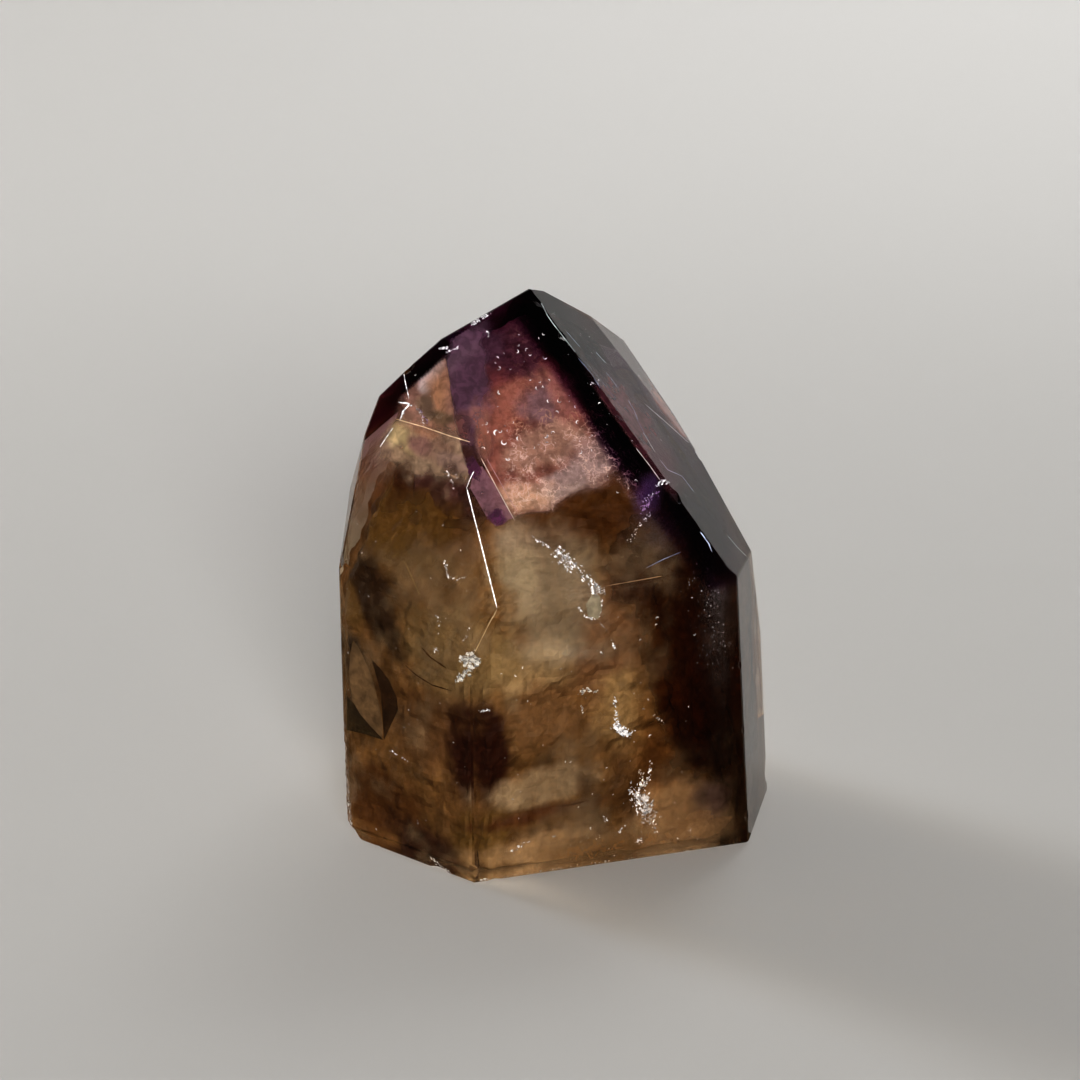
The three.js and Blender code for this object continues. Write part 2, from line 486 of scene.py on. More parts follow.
smoke = {
    "colour": (0.60, 0.36, 0.06),
    "density": 85,
    "depth": 0.7,                 # mm of clear quartz outside it
    "top": 37,                    # mm up, and how that level tilts
    "tilt": (0.1, -0.2),
    "from": 12.5,                 # mm to the right
    "slant": 0.25,
}


def addSmoke():
    side = Vector((-1, smoke["slant"], 0)).normalized(), -smoke["from"] * mm
    shape = cutSolid({}, smoke["depth"], [below(smoke["top"], smoke["tilt"]), side])
    addPiece("smoke_right", shape, stain("smoke_right", smoke["colour"], smoke["density"]))


addSmoke()
print("smoke")


bareShare = 0.012         # faces of a sheet that show less of it than this are taken away
spotDepth = 9             # mm through which a spot reaches, towards and away from the eye
spotNoise = (2.2, 3)      # how its border wavers: mm across, and layers
spotWaver = 0.35          # and by what share of its size
fogNoise = (0.9, 2.0)     # its roughness, and how much finer each layer is
screenGamma = 2.2
justInside = 0.01         # mm


def spot(at, size, colour, lean=0, share=0.95, edge=0.4, strength=1):
    # a patch of colour on a cloudy sheet: where it shows, its half width and height in mm, its colour as
    # it should look, 0 to 255, how far it leans, how much of the sheet is there, and how soft its edge is
    return {"at": at, "size": size, "colour": colour, "lean": lean, "share": share, "edge": edge,
            "strength": strength}


def soft(value, low, high):
    share = min(max((value - low) / (high - low), 0), 1)
    return share * share * (3 - 2 * share)


def fog(point, size, layers=4, seed=0.0, strength=1):
    # soft noise whose patches are about so many mm across
    return strength * noise.fractal(point / mm / size + Vector((seed, -seed, 2 * seed)), *fogNoise, layers)


def shown(tone, gain):
    return Vector([min((c / 255) ** screenGamma * g, 1) for c, g in zip(tone, gain)])


def placeSpots(spots, shape):
    tree = BVHTree.FromBMesh(shape)
    placed = []
    for patch in spots:
        place, _, bent = lookIn(patch["at"])
        middle = tree.ray_cast(place + bent * justInside * mm, bent)[0] if place else None
        if middle is None:
            print("no sheet at", patch["at"])
            continue
        wide, tall = patch["size"]
        turn = Matrix.Rotation(math.radians(-patch["lean"]), 3, "Y")
        sizes = Matrix.Diagonal((1 / (wide * mm), 1 / (spotDepth * mm), 1 / (tall * mm)))
        reach = max(wide, tall, spotDepth) * 2 * mm
        placed.append((middle, reach, sizes @ turn, patch))
    return placed


def paint(shape, groundAt, spots, gain, waver=spotWaver, seed=0.0):
    # gives every point of a sheet its colour, and in the fourth place how much of the sheet is there
    layer = shape.verts.layers.float_color.new("tint")
    placed = [(*rest, shown(patch["colour"], gain), patch) for *rest, patch in placeSpots(spots, shape)]
    for vertex in shape.verts:
        point = vertex.co
        colour, share = groundAt(point)
        shift = fog(point, *spotNoise, seed, waver)
        for middle, reach, toSpot, tone, patch in placed:
            away = point - middle
            if away.length < reach:
                edge = patch["edge"]
                mask = soft((toSpot @ away).length + shift, 1 + edge, 1 - edge) * patch["strength"]
                colour = colour.lerp(tone, mask)
                share += (patch["share"] - share) * mask
        vertex[layer] = (*colour, share)


def clearBare(shape):
    # takes away the faces of a sheet that would show nothing
    layer = shape.verts.layers.float_color["tint"]
    bare = [face for face in shape.faces if max(v[layer].w for v in face.verts) < bareShare]
    bmesh.ops.delete(shape, geom=bare, context="FACES")


def tinted(finish):
    colour = finish.node("ShaderNodeVertexColor", {"layer_name": "tint"})
    return colour, finish.node("ShaderNodeVertexColor", {"layer_name": "tint"}, output=1)


def greyed(finish, value):
    return finish.node("ShaderNodeCombineColor", values={0: value, 1: value, 2: value})


def depthUnder(point, facet):
    normal, reach = planes[facet]
    return (reach - normal.dot(point)) / mm


phantomPaint = {
    "gain": (1.65, 2.4, 2.8),
    "rear": (90, 56, 50),
    "faces": [
        # the polished face that each lies under, mm around its plane where its colour ends and where it
        # is full, and that colour
        ("crownRight", 1.4, 0.8, (34, 15, 22)),
        ("crownUpperLeft", 1.4, 0.8, (100, 76, 84)),
        ("crownFrontRight", 1.2, 0.7, (128, 74, 60)),
    ],
    "thick": ("crownFrontRight", "crownRight"),
    "shares": (0.55, 0.4),        # of the dust everywhere, and what the thick faces add
    "foot": (41.0, 43.5),         # mm up, where its dust thins out
    "footWaver": (4, 3, 3, 2.5),  # soft noise: mm across, layers, seed and strength
    "mottle": (2.5, 4, 5, 0.5),
    "spotWaver": 0.4,
    "spots": [
        spot((506, 400), (2.2, 5.0), (138, 80, 64), lean=8),
        spot((520, 345), (3.6, 3.4), (92, 56, 55)),
        spot((545, 405), (3.0, 2.2), (122, 84, 80), lean=20),
        spot((566, 400), (1.6, 3.2), (140, 84, 72), lean=-25),
        spot((545, 448), (5.5, 2.2), (150, 104, 84), lean=-6),
        spot((590, 462), (3.0, 2.4), (140, 102, 90), lean=-10),
        spot((613, 440), (1.3, 7.5), (50, 26, 36), lean=-31, edge=0.6),
        spot((560, 488), (5.0, 1.6), (150, 114, 102), lean=-20),
        spot((524, 498), (3.0, 1.8), (172, 122, 98)),
        spot((472, 402), (1.4, 4.0), (96, 70, 88), lean=-4),
        spot((486, 345), (2.0, 2.0), (96, 66, 66)),
    ],
}
footRise = {"from": -6, "slope": 0.28, "curve": 0.02, "reach": 11}  # mm to the right, and how it climbs


def climb(point):
    # how many mm higher the phantom's foot lies here than at its left
    over = min(max(point.x / mm - footRise["from"], 0), footRise["reach"])
    return over * (footRise["slope"] + over * footRise["curve"])


def phantomGround(point):
    gain = phantomPaint["gain"]
    colour = shown(phantomPaint["rear"], gain)
    masks = {}
    for facet, far, near, tone in phantomPaint["faces"]:
        masks[facet] = soft(abs(depthUnder(point, facet) - phantom["depths"][facet]), far, near)
        colour = colour.lerp(shown(tone, gain), masks[facet])
    share = soft(point.z / mm - climb(point) + fog(point, *phantomPaint["footWaver"]), *phantomPaint["foot"])
    everywhere, more = phantomPaint["shares"]
    share *= everywhere + more * max(masks[facet] for facet in phantomPaint["thick"])
    return colour * (1 + fog(point, *phantomPaint["mottle"])), share


phantomLook = {
    "fine": (1100, 2),                # noise: patches per metre, layers, and how warped
    "coarse": (420, 3, 0.5),
    "curl": (720, 2, 0.4),
    "curlWidth": 0.035,
    "hairWidth": 0.03,
    "curlShare": 0.9,
    "hairShare": 0.6,
    "webPatches": (0.36, 0.6),
    "webFrom": (-7.5, -5),            # mm to the right
    "webEverywhere": 0.15,            # how strong it is, and how much stronger where it is golden
    "webGolden": 0.8,
    "goldBelow": (54, 49),            # mm up
    "paleBelow": (52, 49.5),
    "goldThread": (0.92, 0.62, 0.40),
    "paleThread": (0.92, 0.74, 0.64),
    "grain": (0.38, 0.62, (0.76, 1.14)),
    "thinSpots": (0.25, 0.5, (0.92, 1.0)),
    "shade": 0.7,
    "glow": 0.25,
    "rough": 0.55,
    "bump": (0.4, 0.0004),            # strength, and height in metres
}


def phantomFinish():
    look = phantomLook
    red = Finish("phantomDust")
    place = red.place()
    colour, share = tinted(red)
    height = red.node("ShaderNodeSeparateXYZ", values={"Vector": place}, output=2) * (1 / mm)
    fine = red.cloud(*look["fine"], at=place)
    coarse = red.cloud(*look["coarse"], place)
    across = red.node("ShaderNodeSeparateXYZ", values={"Vector": place}) * (1 / mm)
    curls = red.between(abs(red.cloud(*look["curl"], place) - 0.5), look["curlWidth"], 0.0)
    hairs = red.between(abs(fine - 0.5), look["hairWidth"], 0.0)
    web = ((curls * look["curlShare"] + hairs * look["hairShare"]) * red.between(coarse, *look["webPatches"])
           * red.between(across, *look["webFrom"]))
    gold = red.between(height, *look["goldBelow"])
    grain = greyed(red, red.between(coarse * 0.5 + fine * 0.5, *look["grain"]))
    colour = red.blend(1.0, colour, grain, "MULTIPLY")
    thread = red.blend(red.between(height, *look["paleBelow"]), look["goldThread"], look["paleThread"])
    colour = red.blend(web * (gold * look["webGolden"] + look["webEverywhere"]), colour, thread)
    shade = share * look["shade"]
    share = share * red.between(fine, *look["thinSpots"])
    red.dust(colour, share, shade, look["glow"], look["rough"], red.bump(coarse, *look["bump"]))
    return red.material


underside = -0.3    # a face that looks down by more than this is the form's underside


def addPhantom():
    shape = grained(phantomForm(), phantom["rounding"])
    ruffle(shape, *phantom["ruffle"])
    drop = [f for f in shape.faces if f.normal.z < underside]
    bmesh.ops.delete(shape, geom=drop, context="FACES")
    paint(shape, phantomGround, phantomPaint["spots"], phantomPaint["gain"], phantomPaint["spotWaver"])
    clearBare(shape)
    addPiece("red_phantom", shape, phantomFinish())


addPhantom()
print("red phantom")


# thin dusty sheets that follow the crown's faces: the polished face that each lies under, its depth, its
# lowest level and its grid's step in mm, the faces beside it, and those that it stays clear of
sheets = {
    "tan_dust": {
        "facet": "crownFrontLeft", "depth": 0.7, "lowest": 46.0, "step": 0.3, "shade": 0.4,
        "beside": ("crownUpperLeft", "crownLeft"), "clear": {"crownFrontRight": 0.4},
        "ground": (158, 126, 100), "gain": (1.6, 2.0, 2.3),
        "spots": [
            spot((403, 436), (2.2, 1.8), (176, 146, 106)),
            spot((440, 452), (2.4, 1.6), (124, 94, 76)),
            spot((425, 430), (1.6, 0.8), (168, 122, 92)),
            spot((452, 462), (2.0, 1.0), (134, 104, 88)),
            spot((420, 445), (1.4, 1.0), (128, 92, 80)),
        ],
    },
    "rose_dust": {
        "facet": "crownUpperLeft", "depth": 0.6, "lowest": 49.0, "step": 0.3, "shade": 0.15,
        "beside": ("crownFrontLeft", "crownLeft"), "clear": {"crownFrontRight": 0.4},
        "rim": (429, 371), "ground": (124, 84, 72), "gain": (2.0, 2.8, 3.0),
        "spots": [
            spot((430, 374), (1.0, 2.4), (160, 130, 122), lean=25),
            spot((438, 396), (1.2, 2.6), (136, 92, 70), edge=0.8),
            spot((424, 404), (1.2, 1.0), (104, 76, 62)),
            spot((440, 418), (1.6, 0.7), (92, 66, 52)),
        ],
    },
    "dusk_haze": {
        "facet": "crownFrontRight", "depth": 0.8, "lowest": 40.0, "step": 0.2, "shade": 0.1,
        "beside": ("crownUpperLeft", "crownFrontLeft", "crownRight"),
        "clear": {"crownUpperLeft": 0.4, "crownFrontLeft": 0.4},
        "fill": 0.0, "ground": (84, 58, 66), "gain": (1.8, 2.4, 2.6),
        "spots": [
            spot((468, 378), (2.4, 5.6), (82, 55, 63), lean=-3, edge=0.3),
            spot((466, 346), (3.0, 1.3), (100, 72, 78), lean=-38, share=0.75),
            spot((462, 430), (1.7, 1.6), (96, 60, 56), share=0.7),
            spot((481, 430), (1.0, 3.0), (140, 92, 76), lean=-10, share=0.5),
            spot((648, 493), (1.3, 2.0), (92, 58, 92), lean=25, share=0.6, edge=0.8),
        ],
    },
    "pink_haze": {
        "facet": "crownRight", "depth": 0.9, "lowest": 42.0, "step": 0.5, "shade": 0.1,
        "beside": ("crownFrontRight",), "clear": {"crownFrontRight": 0.4, "crownFarRight": 0.4},
        "fill": 0.02, "ground": (110, 90, 88), "gain": (1.6, 1.9, 2.0),
        "spots": [
            spot((632, 425), (3.2, 6.5), (172, 112, 102), lean=-32, share=0.5),
            spot((668, 478), (2.4, 4.0), (166, 106, 98), lean=-32, share=0.4),
        ],
    },
    "sandy_haze": {
        "facet": "crownFarRight", "depth": 0.7, "lowest": 42.0, "step": 0.5, "shade": 0.1,
        "beside": ("crownRight",), "clear": {"crownRight": 0.4},
        "fill": 0.05, "ground": (150, 116, 100), "gain": (1.6, 1.9, 2.0),
        "spots": [
            spot((672, 415), (2.0, 5.0), (200, 134, 108), lean=-32, share=0.6),
        ],
    },
}
sheetForm = {
    "span": 110,                # mm that its grid covers before it is cut
    "skin": 0.3,                # mm of clear quartz outside it
    "pastBorder": 0.6,          # mm that its grid runs on past the border where it fades
    "pastFoot": 4,
    "ruffle": (0.08, 4.0),      # height and size in mm
    "seed": 7,
}
sheetTone = {
    "fill": 0.95,               # how much of a sheet is there, unless it says so itself
    "mottle": (1.6, 4, 2, 0.4),
    "footFade": 3.5,            # mm over which it thins out at its foot
    "footWaver": (3, 4, 8, 2.4),
    "clearFade": (-0.1, 0.25),  # mm around the border of what it stays clear of
    "sideFade": (-0.2, 0.15),   # mm around the edge where it meets the face beside it
}


def sheetUnder(facet, depth, step, keep):
    # a fine grid on the plane that lies so deep under a face, kept where keep(point) says
    normal, reach = planes[facet]
    across = normal.cross(Vector((0, 0, 1))).normalized()
    up = across.cross(normal).normalized()
    middle = normal * (reach - depth * mm)
    count = int(sheetForm["span"] / step / 2)
    shape = bmesh.new()
    grid = {}
    for i in range(-count, count + 1):
        for j in range(-count, count + 1):
            point = middle + (across * i + up * j) * step * mm
            if keep(point) and clearance(point) > sheetForm["skin"] * mm:
                grid[i, j] = shape.verts.new(point)
    for i, j in grid:
        ring = [(i, j), (i + 1, j), (i + 1, j + 1), (i, j + 1)]
        if all(k in grid for k in ring):
            shape.faces.new([grid[k] for k in ring])
    loose = [v for v in shape.verts if not v.link_faces]
    bmesh.ops.delete(shape, geom=loose, context="VERTS")
    return shape


# dust: the share of a lamp's light that it stops, noise patches per metre, and how uneven its tone is
fineDust = {"stops": 0.7, "scale": 800, "relief": 0.22}
cloudDust = {"stops": 0.7, "scale": 900, "relief": 0.13}
dustNoise = (3, 0.6)        # layers, and how warped
dustSteps = (0.36, 0.64)
dustRough = 0.6
sheetGlow = 0.3             # the share of its light that comes from behind


def dustyFinish(name, glow, look):
    dusty = Finish(name)
    place = dusty.place()
    colour, share = tinted(dusty)
    coarse = dusty.cloud(look["scale"], *dustNoise, place)
    grain = dusty.between(coarse, *dustSteps, (1 - look["relief"], 1 + look["relief"]))
    colour = dusty.blend(1.0, colour, greyed(dusty, grain), "MULTIPLY")
    shade = share * look["stops"]
    dusty.dust(colour, share, shade, glow, dustRough)
    return dusty.material


def sheetFade(point, sheet, clear):
    # it thins out at its foot and towards its sides
    low = sheet["lowest"]
    fade = soft(point.z / mm + fog(point, *sheetTone["footWaver"]), low, low + sheetTone["footFade"])
    for other, depth in clear.items():
        fade *= soft(depthUnder(point, other) - depth, *sheetTone["clearFade"])
    for other in sheet["beside"]:
        fade *= soft(depthUnder(point, other) - depthUnder(point, sheet["facet"]), *sheetTone["sideFade"])
    return fade


def addSheets():
    for seed, (name, sheet) in enumerate(sheets.items()):
        clear = dict(sheet["clear"])
        if "rim" in sheet:
            clear["crownBackLeft"] = depthUnder(seenAt(sheet["rim"], sheet["depth"]), "crownBackLeft")

        def keep(point, sheet=sheet):
            own = depthUnder(point, sheet["facet"])
            past = sheetForm["pastBorder"]
            return (point.z > (sheet["lowest"] - sheetForm["pastFoot"]) * mm
                    and all(own < depthUnder(point, other) + past for other in sheet["beside"]))

        def ground(point, sheet=sheet):
            colour = shown(sheet["ground"], sheet["gain"]) * (1 + fog(point, *sheetTone["mottle"]))
            return colour, sheet.get("fill", sheetTone["fill"])

        shape = sheetUnder(sheet["facet"], sheet["depth"], sheet["step"], keep)
        ruffle(shape, *sheetForm["ruffle"], sheetForm["seed"] + seed)
        paint(shape, ground, sheet["spots"], sheet["gain"])
        layer = shape.verts.layers.float_color["tint"]
        for vertex in shape.verts:
            vertex[layer].w *= sheetFade(vertex.co, sheet, clear)
        clearBare(shape)
        addPiece(name, shape, dustyFinish(name, sheetGlow, {**fineDust, "stops": sheet["shade"]}))


addSheets()
print("dusty sheets")


# milky veils: mm under the faces, the foot and the left, faces of so many mm, how each is ruffled (height,
# size and seed), its colour, and the least and most of it that is there
clouds = [
    {
        "name": "haze_outer", "depth": 2.4, "foot": -0.5, "left": 1.0, "grain": 0.7,
        "ruffle": (0.7, 7, 14), "glow": 0.4, "ground": (112, 86, 60), "share": (-0.15, 0.45),
        "spots": [
            spot((705, 640), (5, 14), (60, 40, 30), share=0.0),
            spot((351, 517), (1.8, 3.6), (60, 40, 30), share=0.0),
            spot((726, 608), (2.6, 9), (98, 82, 74), share=0.34, edge=0.9),
            spot((664, 512), (3.0, 3.4), (66, 54, 56), lean=-30, share=0.5, edge=0.8),
            spot((700, 825), (5, 2.5), (118, 88, 60), share=0.6),
            spot((590, 850), (8, 1.6), (110, 78, 48), share=0.6),
            spot((552, 600), (5.0, 8.0), (120, 98, 76), lean=8, share=0.3),
            spot((475, 752), (4, 8), (40, 20, 10), share=0.0),
            spot((556, 652), (4.4, 1.6), (166, 142, 114), lean=9, share=0.3, edge=0.95),
            spot((524, 560), (2.2, 4.4), (160, 134, 106), lean=-24, share=0.16, edge=0.9),
            spot((586, 602), (1.6, 3.4), (160, 136, 110), lean=-30, share=0.2, edge=0.9),
        ],
    },
    {
        "name": "cloud_middle", "depth": 5.0, "foot": -0.8, "left": 1.8, "grain": 0.6,
        "ruffle": (1.2, 8, 25), "glow": 0.25, "ground": (96, 66, 38), "share": (0.75, 0.95),
        "climbs": True, "over": 7,
        "spots": [
            spot((351, 517), (1.8, 3.6), (62, 44, 32)),
            spot((405, 515), (8, 6), (86, 60, 28)),
            spot((585, 522), (8, 3.4), (70, 42, 18), lean=-6),
            spot((604, 490), (7, 3.4), (70, 42, 18), lean=-25),
            spot((556, 592), (5.4, 7.6), (110, 86, 61), lean=-20),
            spot((516, 556), (2.2, 5.0), (128, 104, 76), lean=-12),
            # painted light: paler where light glows through the body
            spot((530, 672), (5.0, 4.0), (130, 100, 68)),
            spot((445, 655), (6.4, 5.0), (118, 90, 58)),
            spot((372, 602), (2.4, 7.5), (50, 33, 20), lean=-30),
            spot((350, 606), (1.4, 3.6), (88, 62, 34), lean=-14),
            spot((350, 665), (2.0, 5.0), (42, 27, 16)),
            spot((430, 730), (4.6, 4.6), (98, 66, 40)),
            spot((545, 716), (4.6, 4.2), (98, 68, 42)),
            spot((616, 650), (4.6, 7.5), (104, 71, 46)),
            spot((634, 705), (4.5, 5.4), (124, 92, 58)),
            spot((494, 756), (1.9, 6.2), (46, 23, 13), share=1.0, edge=0.3),
            spot((464, 754), (2.3, 6.4), (46, 23, 13), share=1.0, edge=0.55),
            spot((380, 800), (6.0, 5.0), (76, 47, 24)),
            spot((430, 850), (6.0, 2.6), (56, 34, 22), lean=20),
            spot((492, 842), (2.2, 4.0), (86, 60, 30)),
            spot((545, 784), (6.4, 2.4), (126, 99, 72), lean=-8, edge=0.35),
            spot((545, 812), (7.0, 0.9), (74, 44, 24), lean=-8, edge=0.5),
            spot((590, 812), (1.5, 6.0), (66, 43, 24), lean=-6, strength=0.8),
            spot((545, 850), (7.4, 2.4), (134, 100, 68), lean=-6),
            spot((680, 812), (5.4, 4.8), (160, 126, 92)),
            spot((622, 792), (1.8, 4.6), (70, 45, 24), lean=-8, strength=0.85),
            spot((712, 800), (2.4, 3.0), (96, 74, 66), lean=-30),
            spot((655, 570), (5.0, 5.0), (56, 38, 30), share=0.5),
            spot((706, 668), (6.6, 14), (30, 16, 10), lean=-9, share=0.0, edge=0.4),
        ],
    },
    {
        "name": "cloud_heart", "depth": 12.5, "foot": 3.0, "left": 8.0, "grain": 0.8,
        "ruffle": (2.5, 9, 9), "glow": 0.25, "ground": (80, 52, 28), "share": (0.9, 1.0),
        "spots": [],
    },
]
cloudGain = (2.1, 2.75, 3.7)
cloudForm = {
    "top": (40.5, 44.5),        # mm up: full below the first, none above the second
    "topWaver": (5, 3, 2, 3),
    "over": 3,                  # mm that the form goes on above its top
    "foot": 0.03,               # mm of clear quartz under it
    "lid": 0.7,                 # a face that looks up by more than this is its lid
    "spotWaver": 0.3,
}
cloudTone = {
    "broad": (12, 3),           # mottling: mm across, and layers
    "small": (3, 4),
    "smallSeed": 3,
    "smallShare": 0.5,
    "thin": (-0.5, 0.5),
    "broadTone": 0.4,
    "smallTone": 0.3,
    "darkest": 0.2,
    "darkSide": (12, 18),       # mm to the right: it turns dark between these
    "sideTone": 0.7,
}


def cloudGround(cloud, seed):
    look = cloudTone
    low, high = cloud["share"]

    def ground(point):
        broad = fog(point, *look["broad"], seed)
        small = fog(point, *look["small"], seed + look["smallSeed"])
        share = low + (high - low) * soft(broad + small * look["smallShare"], *look["thin"])
        tone = max(1 + look["broadTone"] * broad + look["smallTone"] * small, look["darkest"])
        colour = shown(cloud["ground"], cloudGain) * tone
        colour *= 1 - look["sideTone"] * soft(point.x / mm, *look["darkSide"])
        return colour, max(share, 0)

    return ground


def addClouds():
    full, none = cloudForm["top"]
    for cloud in clouds:
        seed = cloud["ruffle"][-1]
        depths = {"foot": cloud["foot"], "left": cloud["left"], "shoulderLeft": cloud["left"]}
        top = none + cloud.get("over", cloudForm["over"])
        shape = grained(cutSolid(depths, cloud["depth"], [below(top)]), cloud["grain"])
        ruffle(shape, *cloud["ruffle"])
        for vertex in shape.verts:
            vertex.co.z = max(vertex.co.z, cloudForm["foot"] * mm)
        lid = [f for f in shape.faces if f.normal.z > cloudForm["lid"]]
        bmesh.ops.delete(shape, geom=lid, context="FACES")
        paint(shape, cloudGround(cloud, seed), cloud["spots"], cloudGain, cloudForm["spotWaver"], seed)
        layer = shape.verts.layers.float_color["tint"]
        for vertex in shape.verts:
            high = vertex.co.z / mm + fog(vertex.co, *cloudForm["topWaver"])
            if cloud.get("climbs"):
                high -= climb(vertex.co)
            vertex[layer].w *= soft(high, none, full)
        clearBare(shape)
        addPiece(cloud["name"], shape, dustyFinish(cloud["name"], cloud["glow"], cloudDust))


addClouds()
print("clouds")


# silvery cracks and chips: small crumpled plates strewn along a path of places where they show, their glow a
# painted glint
flecks = {
    "silver_cracks": {"tone": (0.84, 0.84, 0.87), "rough": 0.25, "glow": 0.36, "runs": [
        # path, spread in pixels, how many, smallest and largest half width in mm, and mm deep
        ([(530, 535), (541, 543), (552, 548)], 1.2, 26, (0.06, 0.20), 2.2),
        ([(556, 552), (566, 560), (576, 568)], 7.0, 100, (0.05, 0.24), 2.2),
        ([(560, 550), (568, 559), (577, 570)], 3.2, 20, (0.12, 0.30), 2.1),
        ([(578, 571), (590, 580), (600, 592)], 3.6, 60, (0.05, 0.22), 2.2),
        ([(601, 592), (602, 604), (600, 618)], 0.8, 16, (0.05, 0.14), 2.2),
        ([(578, 606), (584, 616), (596, 620)], 0.9, 26, (0.06, 0.18), 2.3),
        ([(600, 622), (608, 632), (612, 642)], 0.7, 12, (0.04, 0.10), 2.3),
        ([(613, 643), (615, 648)], 0.8, 8, (0.10, 0.24), 2.0),
        ([(601, 652), (603, 655)], 0.6, 4, (0.08, 0.18), 2.0),
        ([(445, 561), (447, 571), (449, 579)], 1.6, 26, (0.05, 0.18), 1.6),
        ([(449, 577), (457, 580), (465, 577)], 0.8, 14, (0.04, 0.12), 1.6),
        ([(614, 697), (616, 712), (618, 722)], 1.6, 26, (0.06, 0.20), 3.0),
        ([(614, 722), (622, 731), (631, 736)], 5.0, 60, (0.06, 0.26), 3.0),
        ([(615, 724), (620, 730), (628, 735)], 2.6, 22, (0.16, 0.42), 2.9),
        ([(653, 715), (664, 723)], 0.9, 12, (0.06, 0.16), 2.4),
        ([(651, 762), (650, 776), (646, 786)], 1.6, 30, (0.06, 0.20), 2.6),
        ([(634, 788), (644, 802), (650, 822)], 9.0, 170, (0.05, 0.26), 2.6),
        ([(637, 792), (643, 804), (649, 820)], 4.4, 38, (0.16, 0.44), 2.5),
        ([(655, 824), (657, 834)], 1.6, 14, (0.05, 0.14), 2.0),
        ([(618, 832), (626, 825)], 1.0, 12, (0.05, 0.14), 2.0),
        ([(605, 816), (606, 820)], 1.8, 8, (0.06, 0.16), 1.8),
        ([(636, 842), (642, 840)], 2.4, 16, (0.06, 0.18), 1.4),
        ([(512, 852), (520, 845), (530, 841)], 1.6, 22, (0.05, 0.14), 1.4),
        ([(390, 750), (396, 754), (409, 762)], 1.0, 18, (0.05, 0.14), 1.6),
        ([(478, 711), (483, 711), (489, 710)], 0.8, 12, (0.10, 0.22), 1.2),
        ([(435, 614), (440, 624)], 2.2, 10, (0.05, 0.14), 1.4),
        ([(470, 622), (467, 636), (462, 642)], 1.0, 14, (0.05, 0.12), 1.4),
        ([(433, 646), (438, 654)], 2.0, 8, (0.06, 0.16), 1.4),
        ([(689, 826), (690, 832)], 1.2, 6, (0.05, 0.14), 1.4),
        ([(688, 570), (715, 620), (722, 660)], 14, 110, (0.03, 0.08), 1.2),
        ([(626, 543), (640, 526), (651, 512)], 2.2, 40, (0.04, 0.12), 0.8),
        ([(656, 486), (664, 480), (668, 484)], 1.6, 30, (0.06, 0.18), 0.3),
        ([(643, 503), (650, 495), (656, 488)], 2.2, 18, (0.04, 0.12), 0.6),
        ([(446, 471), (450, 478), (454, 488)], 1.2, 16, (0.07, 0.18), 0.8),
        ([(456, 474), (457, 478)], 1.0, 5, (0.06, 0.14), 0.8),
        ([(440, 349), (447, 348)], 0.9, 14, (0.08, 0.24), 0.5),
        ([(446, 352), (458, 347)], 0.8, 20, (0.07, 0.20), 0.5),
        ([(470, 325), (478, 318), (489, 312)], 2.0, 60, (0.08, 0.26), 0.5),
        ([(404, 402), (411, 405), (417, 407)], 0.6, 14, (0.06, 0.14), 0.3),
        ([(417, 407), (421, 414), (424, 425)], 0.9, 18, (0.05, 0.13), 0.3),
        ([(403, 368), (405, 382), (409, 399)], 0.4, 16, (0.05, 0.12), 0.2),
        ([(409, 405), (404, 411), (401, 420)], 0.5, 14, (0.05, 0.12), 0.2),
        ([(337, 559), (340, 561)], 1.0, 6, (0.06, 0.12), 0.2),
        ([(552, 312), (556, 316)], 2.0, 6, (0.04, 0.10), 0.3),
        ([(588, 383), (600, 381)], 2.0, 12, (0.05, 0.16), 0.6),
    ]},
    "pale_chips": {"tone": (0.76, 0.73, 0.68), "rough": 0.35, "glow": 0.12, "runs": [
        ([(464, 663), (474, 667)], 3.4, 30, (0.08, 0.24), 0.4),
        ([(460, 660), (472, 657), (478, 664)], 2.6, 90, (0.12, 0.34), 0.4),
        ([(470, 668), (462, 676), (458, 680)], 2.4, 60, (0.12, 0.30), 0.4),
        ([(580, 694), (586, 690), (597, 692)], 1.4, 34, (0.08, 0.22), 1.6),
        ([(582, 706), (583, 716)], 1.0, 12, (0.06, 0.16), 1.6),
        ([(640, 770), (644, 780), (640, 788)], 2.4, 24, (0.08, 0.22), 2.2),
        ([(345, 738), (346, 775), (348, 800)], 0.8, 34, (0.06, 0.18), 0.3),
        ([(348, 800), (350, 820), (355, 834)], 1.2, 34, (0.10, 0.28), 0.3),
        ([(430, 858), (440, 866), (450, 873)], 1.4, 34, (0.10, 0.26), 0.3),
        ([(480, 880), (490, 880), (500, 878)], 0.8, 22, (0.06, 0.16), 0.3),
        ([(504, 878), (560, 869), (640, 857)], 0.8, 46, (0.04, 0.10), 0.3),
        ([(738, 848), (745, 846)], 0.8, 8, (0.06, 0.14), 0.3),
        ([(347, 400), (352, 394)], 0.8, 4, (0.05, 0.10), 0.3),
        ([(575, 846), (600, 836)], 6.0, 20, (0.03, 0.08), 1.2),
    ]},
    "violet_wisps": {"tone": (0.46, 0.33, 0.50), "rough": 0.5, "glow": 0.04, "runs": [
        ([(640, 512), (648, 502), (656, 492)], 3.0, 40, (0.08, 0.22), 0.7),
        ([(418, 408), (424, 416), (428, 424)], 1.2, 16, (0.06, 0.16), 0.4),
    ]},
}
